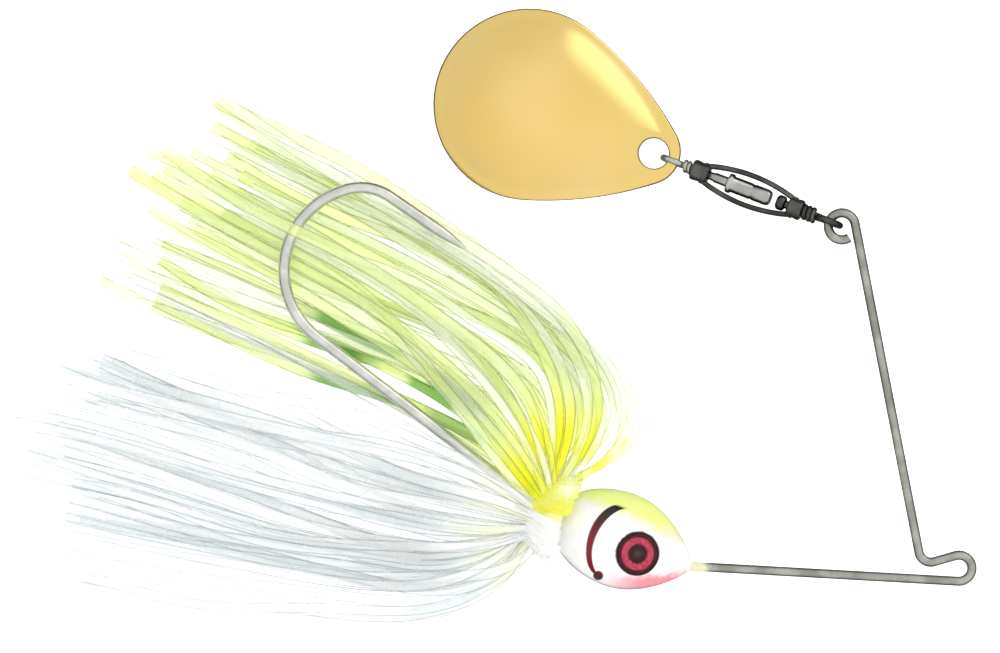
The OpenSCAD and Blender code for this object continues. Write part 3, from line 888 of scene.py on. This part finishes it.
def band():
    """Rubber band in two rolled turns round the strands' roots."""
    place = basis(HEAD_SIDE, np.cross(HEAD_AXIS, HEAD_SIDE), HEAD_AXIS, SKIRT)
    inner, half = COLLAR_D / 2 + 0.03, 1.5
    outline = [[inner, -half], [inner, half]]
    for middle in (half / 2, -half / 2):
        for a in np.linspace(1.45, -1.45, 13):
            outline.append([2.55 + 0.42 * math.cos(a), middle + 0.72 * math.sin(a)])
    points, faces = turned_ring(outline, place, 96)
    piece("rubber_band", points, faces, band_rubber(), "lure", "band_rubber", ["skirt_band"], 50)


# --- bare metal that keeps its CAD mesh -----------------------------------------------------

def carried_over():
    materials = frame["nodes"]["wire_frame"].data.materials
    materials.clear()
    materials.append(wire_steel())


# --- floor, light and camera ----------------------------------------------------------------

MIDDLE = (-0.05, 0.026)


def floor():
    """A pale floor just under the lure. It glows a little, to stay white without a harsh light."""
    bpy.ops.mesh.primitive_plane_add(size=3, location=(*MIDDLE, FLOOR * MM - 0.00005))
    plane = bpy.context.object
    plane.name = "floor"
    m = Finish("floor_white", Roughness=0.9, Emission_Color=(1, 1, 1, 1), Emission_Strength=0.75)
    m.set("Base Color", m.blend(m.noise(0.02, 2.0), (0.86, 0.86, 0.86), (0.9, 0.9, 0.9)))
    plane.data.materials.append(m.material)
    plane.visible_glossy = False


def area(name, at, size, power):
    """A wide soft light aimed at the lure. The metal doesn't mirror it."""
    light = bpy.data.lights.new(name, "AREA")
    light.shape = "RECTANGLE"
    light.size, light.size_y = size
    light.energy = power
    obj = bpy.data.objects.new(name, light)
    obj.location = at
    obj.rotation_euler = (Vector((*MIDDLE, 0)) - Vector(at)).to_track_quat("-Z", "Y").to_euler()
    obj.visible_glossy = False
    bpy.context.collection.objects.link(obj)


def studio():
    """A pale sky, dark at the horizon, with a glow on its upper right, and one wide soft light."""
    world = bpy.data.worlds.new("studio")
    bpy.context.scene.world = world
    world.use_nodes = True
    tree = world.node_tree
    place = tree.nodes.new("ShaderNodeTexCoord").outputs["Generated"]

    def towards(way):
        """How nearly a direction of the sky is the given one."""
        dot = tree.nodes.new("ShaderNodeVectorMath")
        dot.operation = "DOT_PRODUCT"
        tree.links.new(place, dot.inputs[0])
        dot.inputs[1].default_value = way
        return dot.outputs["Value"]

    def node(kind, source, *values):
        """A node fed by one source, with numbers on its next sockets."""
        made = tree.nodes.new("ShaderNode" + kind)
        tree.links.new(source, made.inputs[0])
        for socket, value in zip(made.inputs[1:], values):
            socket.default_value = value
        return made

    ramp = node("ValToRGB", towards((0, 0, 1)))
    stops = ramp.color_ramp.elements
    stops[0].position, stops[0].color = 0.0, (0.20, 0.20, 0.205, 1)
    stops[1].position, stops[1].color = 0.95, (0.92, 0.92, 0.92, 1)
    stops.new(0.14).color = (0.40, 0.40, 0.41, 1)
    stops.new(0.36).color = (0.80, 0.80, 0.81, 1)
    slope = node("Math", towards((0.8, -0.6, 0)), 0.08, 1.04)
    slope.operation = "MULTIPLY_ADD"
    glow = node("MapRange", towards((0.68, 0.64, 0.36)), 0.91, 0.98, 0.0, 0.95)
    glow.interpolation_type = "SMOOTHSTEP"
    total = node("Math", slope.outputs[0])
    tree.links.new(glow.outputs[0], total.inputs[1])
    sky = tree.nodes["Background"]
    tree.links.new(ramp.outputs[0], sky.inputs["Color"])
    tree.links.new(total.outputs[0], sky.inputs["Strength"])
    area("overhead", (0.12, -0.10, 0.85), (1.5, 1.5), 5.5)


def camera():
    """A camera straight over the lure, whose picture is 108.7 mm across at the height of the wire."""
    data = bpy.data.cameras.new("camera")
    data.sensor_width = 36
    distance, across = 0.6, 0.1087
    data.lens = data.sensor_width * distance / across
    obj = bpy.data.objects.new("camera", data)
    obj.location = (-0.0497, 0.02625, distance)
    bpy.context.collection.objects.link(obj)
    bpy.context.scene.camera = obj


head()
eyes()
hook()
swivel()
blade()
band()
skirt()
carried_over()
floor()
studio()
camera()
bpy.context.scene.view_settings.view_transform = "Standard"
